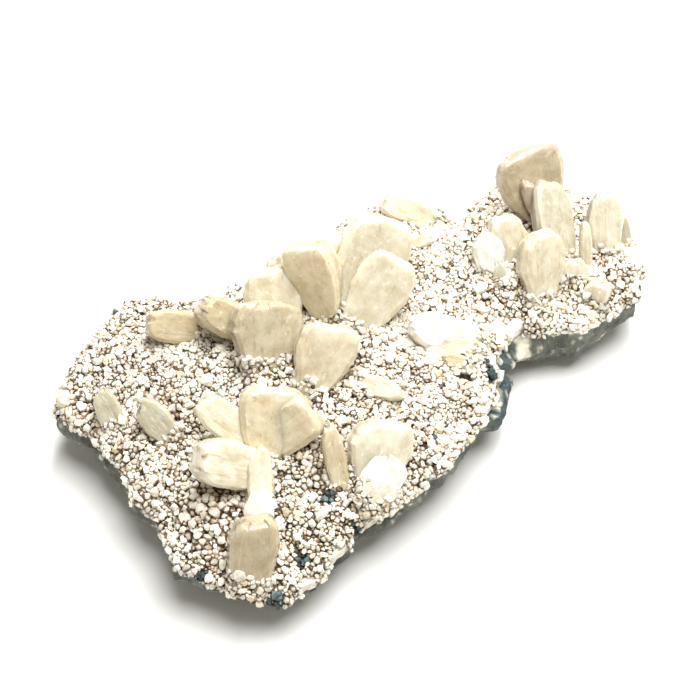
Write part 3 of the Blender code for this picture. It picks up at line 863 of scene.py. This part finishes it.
def make_rock(points, faces):
    """The slab with broken, hackly walls."""
    new_points, normals, new_faces = refine(
        "rock", points, faces, ROCK_EDGE,
        lambda face: face.normal.z > 0.75 or face.calc_center_median().z < 0.3)
    grey, teal, white, way = (np.array(c) for c in (ROCK_GREY, ROCK_TEAL, COAT_WHITE, BULGE_WAY))
    colours = np.full((len(new_points), 3), UNDERSIDE_GREY)
    for n, (point, normal) in enumerate(zip(new_points, normals)):
        if point[2] < FLOOR_GAP:
            continue
        not_top = 1.0 if normal[2] < TOP_NORMAL else 0.0
        not_beneath = 1.0 if normal[2] > -TOP_NORMAL else 0.0
        moved = point + normal * hackle(Vector(point)) * not_top * smoothstep(point[2] / HACKLE_RISE)
        near = max(1.0 - math.hypot(point[0] - bx, point[1] - by) / radius for bx, by, radius in BULGE)
        dark = smoothstep(near * BULGE_EDGE)
        out = BULGE_OUT * dark * smoothstep((BULGE_TOP - point[2]) / BULGE_FADE) * not_top
        new_points[n] = moved + out * way * not_beneath
        new_points[n][2] = max(new_points[n][2], FLOOR_GAP)
        coat = white_coat(*new_points[n])
        colours[n] = (grey * (1.0 - dark) + teal * dark) * (1.0 - coat) + white * coat
    obj = add_mesh("basalt_rock", new_points, new_faces, colours, new_points)
    smooth_by_angle(obj.data, ROCK_SHARP)
    obj.data.materials.append(BASALT)
    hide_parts("basalt_matrix")
    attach(obj, "root")
    return new_points.tolist(), new_faces


# Materials

# Crystals: share of light that spreads below the surface, how far each colour of it does, the coat
SPREAD_SHARE = 0.30
SPREAD_COLOURS = (1.0, 0.78, 0.5)
SPREAD_SCALE = 0.003
COAT_SHARE = 0.50
COAT_ROUGHNESS = 0.12
# Roughness, as a range from cloud to cloud where there are two values
CRYSTAL_ROUGHNESS = (0.14, 0.46)
GRAIN_ROUGHNESS = (0.28, 0.6)
BED_ROUGHNESS = 0.7
ROCK_ROUGHNESS = 0.78
# Shares of the mixes: streaks and cracks of crystals, frost on grains, grit in the bed
STREAK_SHARE = 0.45
CRACK_SHARE = 0.7
FROST_SHARE = 0.7
GRIT_SHARE = 0.8
# Brown of the painted shade at the edge of the seams between grains, and colour of the basalt's flecks
SEAM_SHADE_BROWN = (0.52, 0.37, 0.24)
FLECK_COLOUR = (0.42, 0.40, 0.34, 1.0)


def new_material(name):
    """A material with its nodes and links."""
    material = bpy.data.materials.new(name)
    material.use_nodes = True
    return material, material.node_tree.nodes, material.node_tree.links


def value_ramp(nodes, links, value, stops):
    """A value turned into the colours of a ramp, given as places and colours."""
    ramp = nodes.new("ShaderNodeValToRGB")
    elements = ramp.color_ramp.elements
    while len(elements) < len(stops):
        elements.new(0.5)
    for element, (place, colour) in zip(elements, stops):
        element.position = place
        element.color = (*colour, 1.0)
    links.new(value, ramp.inputs[0])
    return ramp.outputs[0]


def value_range(nodes, links, value, given, wanted):
    """A value moved from one range to another."""
    node = nodes.new("ShaderNodeMapRange")
    node.inputs["From Min"].default_value = given[0]
    node.inputs["From Max"].default_value = given[1]
    node.inputs["To Min"].default_value = wanted[0]
    node.inputs["To Max"].default_value = wanted[1]
    links.new(value, node.inputs["Value"])
    return node.outputs[0]


def mix_colour(nodes, links, blend, factor, first, second):
    """Two colours mixed, each a value or the output of a node."""
    mix = nodes.new("ShaderNodeMix")
    mix.data_type = "RGBA"
    mix.blend_type = blend
    for socket, value in ((0, factor), (6, first), (7, second)):
        if isinstance(value, bpy.types.NodeSocket):
            links.new(value, mix.inputs[socket])
        else:
            mix.inputs[socket].default_value = value
    return mix.outputs[2]


def stretched(nodes, links, vector, stretch):
    """A texture place stretched along each axis."""
    mapping = nodes.new("ShaderNodeMapping")
    mapping.inputs["Scale"].default_value = stretch
    links.new(vector, mapping.inputs["Vector"])
    return mapping.outputs[0]


def scaled_noise(nodes, links, vector, scale, stretch, detail, roughness=0.55):
    """Noise in a stretched space."""
    texture = nodes.new("ShaderNodeTexNoise")
    texture.inputs["Scale"].default_value = scale
    texture.inputs["Detail"].default_value = detail
    texture.inputs["Roughness"].default_value = roughness
    links.new(stretched(nodes, links, vector, stretch), texture.inputs["Vector"])
    return texture.outputs[0]


def attribute(nodes, name, output):
    """One output of a mesh attribute."""
    node = nodes.new("ShaderNodeAttribute")
    node.attribute_name = name
    return node.outputs[output]


def bump(nodes, links, height, strength, distance, normal=None):
    """A normal tilted by a height, over another normal if one is given."""
    node = nodes.new("ShaderNodeBump")
    node.inputs["Strength"].default_value = strength
    node.inputs["Distance"].default_value = distance
    links.new(height, node.inputs["Height"])
    if normal is not None:
        links.new(normal, node.inputs["Normal"])
    return node.outputs[0]


def stilbite_material():
    """Pearly, with light below its surface, and streaks, clouds, cracks, specks and painted glints along
    it.
    """
    material, nodes, links = new_material("stilbite_pearly")
    shader = nodes["Principled BSDF"]
    fibre = attribute(nodes, "fibre", "Vector")
    streaks = scaled_noise(nodes, links, fibre, 1.0, (1.5, 2.6, 0.09), 5.0, 0.6)
    clouds = scaled_noise(nodes, links, fibre, 0.34, (1.0, 1.0, 0.7), 4.0, 0.6)
    cracks = scaled_noise(nodes, links, fibre, 1.0, (1.1, 1.4, 0.16), 2.0, 0.5)
    specks = scaled_noise(nodes, links, fibre, 1.1, (1.0, 1.0, 0.5), 4.0, 0.65)
    streak_tint = value_ramp(nodes, links, streaks, [
        (0.28, (0.86, 0.82, 0.76)), (0.52, (1, 1, 1)), (0.75, (1.05, 1.05, 1.05))])
    cloud_tint = value_ramp(nodes, links, clouds, [
        (0.32, (0.86, 0.82, 0.75)), (0.47, (0.96, 0.94, 0.91)), (0.66, (1.10, 1.12, 1.16))])
    crack_tint = value_ramp(nodes, links, cracks, [
        (0.310, (1, 1, 1)), (0.325, (0.66, 0.55, 0.42)), (0.335, (0.72, 0.62, 0.50)), (0.355, (1, 1, 1))])
    # Specks: darker flecks, and painted glints where the colour rises above the crystal's own
    speck_and_glint_tint = value_ramp(nodes, links, specks, [
        (0.34, (0.92, 0.89, 0.85)), (0.42, (1, 1, 1)), (0.61, (1, 1, 1)), (0.67, (1.30, 1.38, 1.52))])
    colour = attribute(nodes, "tint", "Color")
    for share, tint in (
            (STREAK_SHARE, streak_tint), (1.0, cloud_tint), (CRACK_SHARE, crack_tint), (1.0, speck_and_glint_tint)):
        colour = mix_colour(nodes, links, "MULTIPLY", share, colour, tint)
    links.new(colour, shader.inputs["Base Color"])
    shader.inputs["Subsurface Weight"].default_value = SPREAD_SHARE
    shader.inputs["Subsurface Radius"].default_value = SPREAD_COLOURS
    shader.inputs["Subsurface Scale"].default_value = SPREAD_SCALE
    shader.inputs["Coat Weight"].default_value = COAT_SHARE
    shader.inputs["Coat Roughness"].default_value = COAT_ROUGHNESS
    rough = value_range(nodes, links, clouds, (0.3, 0.7), CRYSTAL_ROUGHNESS)
    links.new(rough, shader.inputs["Roughness"])
    flakes = nodes.new("ShaderNodeTexVoronoi")
    flakes.feature = "F1"
    flakes.distance = "CHEBYCHEV"
    flakes.inputs["Scale"].default_value = 1.0
    links.new(stretched(nodes, links, fibre, (0.9, 0.9, 0.35)), flakes.inputs["Vector"])
    fine = bump(nodes, links, streaks, 0.30, 0.0003)
    flaky = bump(nodes, links, flakes.outputs["Distance"], 0.22, 0.0006, fine)
    links.new(bump(nodes, links, clouds, 0.25, 0.0008, flaky), shader.inputs["Normal"])
    return material


def grain_material():
    """Grains in their own colours, frosted in places, with brown painted shade in the seams between them.
    """
    material, nodes, links = new_material("druse_grain")
    shader = nodes["Principled BSDF"]
    fibre = attribute(nodes, "fibre", "Vector")
    frost = scaled_noise(nodes, links, fibre, 1.4, (1.0, 1.0, 1.0), 2.0)
    frost_tint = value_ramp(nodes, links, frost, [(0.3, (0.82, 0.78, 0.70)), (0.6, (1.0, 1.0, 1.0))])
    # Painted shade, dark brown deep in the seams between grains
    seam_shade = value_ramp(nodes, links, attribute(nodes, "tint", "Alpha"), [
        (0.20, CREVICE_SHADE), (0.34, SEAM_SHADE_BROWN), (0.50, (1, 1, 1))])
    colour = attribute(nodes, "tint", "Color")
    colour = mix_colour(nodes, links, "MULTIPLY", FROST_SHARE, colour, frost_tint)
    colour = mix_colour(nodes, links, "MULTIPLY", 1.0, colour, seam_shade)
    links.new(colour, shader.inputs["Base Color"])
    rough = value_range(nodes, links, frost, (0.0, 1.0), GRAIN_ROUGHNESS)
    links.new(rough, shader.inputs["Roughness"])
    return material


def bed_material():
    """The crust between the grains, gritty, its colour given for each point."""
    material, nodes, links = new_material("druse_bed")
    shader = nodes["Principled BSDF"]
    fibre = attribute(nodes, "fibre", "Vector")
    grit = scaled_noise(nodes, links, fibre, 1.1, (1.0, 1.0, 1.0), 5.0, 0.7)
    grit_tint = value_ramp(nodes, links, grit, [(0.30, (0.55, 0.50, 0.45)), (0.65, (1.08, 1.08, 1.08))])
    colour = attribute(nodes, "tint", "Color")
    colour = mix_colour(nodes, links, "MULTIPLY", GRIT_SHARE, colour, grit_tint)
    links.new(colour, shader.inputs["Base Color"])
    shader.inputs["Roughness"].default_value = BED_ROUGHNESS
    links.new(bump(nodes, links, grit, 0.6, 0.0006), shader.inputs["Normal"])
    return material


def basalt_material():
    """Dark rock in lighter and darker clouds, with pale flecks."""
    material, nodes, links = new_material("basalt_rock")
    shader = nodes["Principled BSDF"]
    fibre = attribute(nodes, "fibre", "Vector")
    clouds = scaled_noise(nodes, links, fibre, 0.16, (1.0, 1.0, 1.0), 6.0, 0.65)
    flecks = scaled_noise(nodes, links, fibre, 1.7, (1.0, 1.0, 1.0), 3.0, 0.6)
    grit = scaled_noise(nodes, links, fibre, 3.2, (1.0, 1.0, 1.0), 4.0, 0.7)
    cloud_tint = value_ramp(nodes, links, clouds, [
        (0.30, (0.30, 0.32, 0.32)), (0.50, (1.0, 1.0, 1.0)), (0.70, (1.7, 1.7, 1.65))])
    fleck = value_ramp(nodes, links, flecks, [(0.62, (0, 0, 0)), (0.72, (1, 1, 1))])
    colour = attribute(nodes, "tint", "Color")
    colour = mix_colour(nodes, links, "MULTIPLY", 1.0, colour, cloud_tint)
    colour = mix_colour(nodes, links, "MIX", fleck, colour, FLECK_COLOUR)
    links.new(colour, shader.inputs["Base Color"])
    shader.inputs["Roughness"].default_value = ROCK_ROUGHNESS
    links.new(bump(nodes, links, grit, 0.7, 0.0005), shader.inputs["Normal"])
    return material


# Stage

CAMERA_AZIMUTH = -37.0
CAMERA_ELEVATION = 50.0
CAMERA_DISTANCE = 0.42
CAMERA_TARGET = Vector((0.0, 0.0, 0.016))
CAMERA_LENS = 90.0
CAMERA_NEAR = 0.01

# Lamps, with distance and size in metres and power in watts
Lamp = namedtuple("Lamp", "name azimuth elevation distance size power colour")
LAMPS = [
    Lamp("key", 128.0, 56.0, 0.9, 0.22, 7.3, (1.0, 1.0, 0.99)),
    Lamp("softbox", 60.0, 80.0, 0.6, 0.5, 5.5, (1.0, 1.0, 1.0)),
]
WORLD_COLOUR = (1.0, 0.94, 0.83, 1.0)
WORLD_STRENGTH = 0.31
FLOOR_HALF = 1.5
FLOOR_COLOUR = (0.93, 0.93, 0.91, 1.0)
FLOOR_ROUGHNESS = 0.9


def from_angle(azimuth, elevation):
    """Unit vector from the object towards a viewer; azimuth 0 looks along +Y."""
    a, e = math.radians(azimuth), math.radians(elevation)
    return Vector((math.sin(a) * math.cos(e), -math.cos(a) * math.cos(e), math.sin(e)))


def aim(obj, place, target):
    """Put an object at a place, looking at a target."""
    obj.location = place
    obj.rotation_euler = (target - place).to_track_quat("-Z", "Y").to_euler()


def add_lamp(lamp):
    """A round area light that shines on the specimen."""
    light = bpy.data.lights.new(lamp.name, "AREA")
    light.shape = "DISK"
    light.size = lamp.size
    light.energy = lamp.power
    light.color = lamp.colour
    obj = bpy.data.objects.new(lamp.name, light)
    bpy.context.scene.collection.objects.link(obj)
    place = CAMERA_TARGET + lamp.distance * from_angle(lamp.azimuth, lamp.elevation)
    aim(obj, place, CAMERA_TARGET)


def make_floor():
    """A plain pale floor."""
    corners = [(x * FLOOR_HALF, y * FLOOR_HALF, 0) for x, y in ((-1, -1), (1, -1), (1, 1), (-1, 1))]
    mesh = bpy.data.meshes.new("floor")
    mesh.from_pydata(corners, [], [(0, 1, 2, 3)])
    floor = bpy.data.objects.new("floor", mesh)
    bpy.context.scene.collection.objects.link(floor)
    material, nodes, _ = new_material("floor_white")
    shader = nodes["Principled BSDF"]
    shader.inputs["Base Color"].default_value = FLOOR_COLOUR
    shader.inputs["Roughness"].default_value = FLOOR_ROUGHNESS
    mesh.materials.append(material)


def make_stage():
    """The floor, soft light from above and behind, and the photograph's camera."""
    scene = bpy.context.scene
    make_floor()
    world = bpy.data.worlds.new("studio")
    scene.world = world
    world.use_nodes = True
    background = world.node_tree.nodes["Background"]
    background.inputs["Color"].default_value = WORLD_COLOUR
    background.inputs["Strength"].default_value = WORLD_STRENGTH
    for lamp in LAMPS:
        add_lamp(lamp)
    camera_data = bpy.data.cameras.new("camera")
    camera_data.lens = CAMERA_LENS
    camera_data.clip_start = CAMERA_NEAR
    camera = bpy.data.objects.new("camera", camera_data)
    scene.collection.objects.link(camera)
    place = CAMERA_TARGET + CAMERA_DISTANCE * from_angle(CAMERA_AZIMUTH, CAMERA_ELEVATION)
    aim(camera, place, CAMERA_TARGET)
    scene.camera = camera
    scene.view_settings.view_transform = "Standard"


STILBITE = stilbite_material()
GRAIN = grain_material()
BED = bed_material()
BASALT = basalt_material()

crust_points, crust_faces = node_surface("druse_crust")
rock_points, rock_faces = node_surface("basalt_matrix")
crust_tree = BVHTree.FromPolygons([Vector(p) for p in crust_points], crust_faces)
blade_starts, frost_points, frost_faces = make_crystals(crust_tree)
make_bed(crust_points, crust_faces)
rough_points, rough_faces = make_rock(rock_points, rock_faces)

# Surfaces that carry grains, with the test for a place on each; frosted faces carry them all over
surfaces = [
    (crust_points, crust_faces, on_crust, CRUST_TRIES),
    (rough_points, rough_faces, on_upper_wall, WALL_TRIES),
    (frost_points, frost_faces, None, FROST_TRIES),
]
grain_rng = np.random.default_rng(SEED)
seats = seat_grains(surfaces, blade_starts, grain_rng)
make_grains(seats, grain_rng)
make_stage()
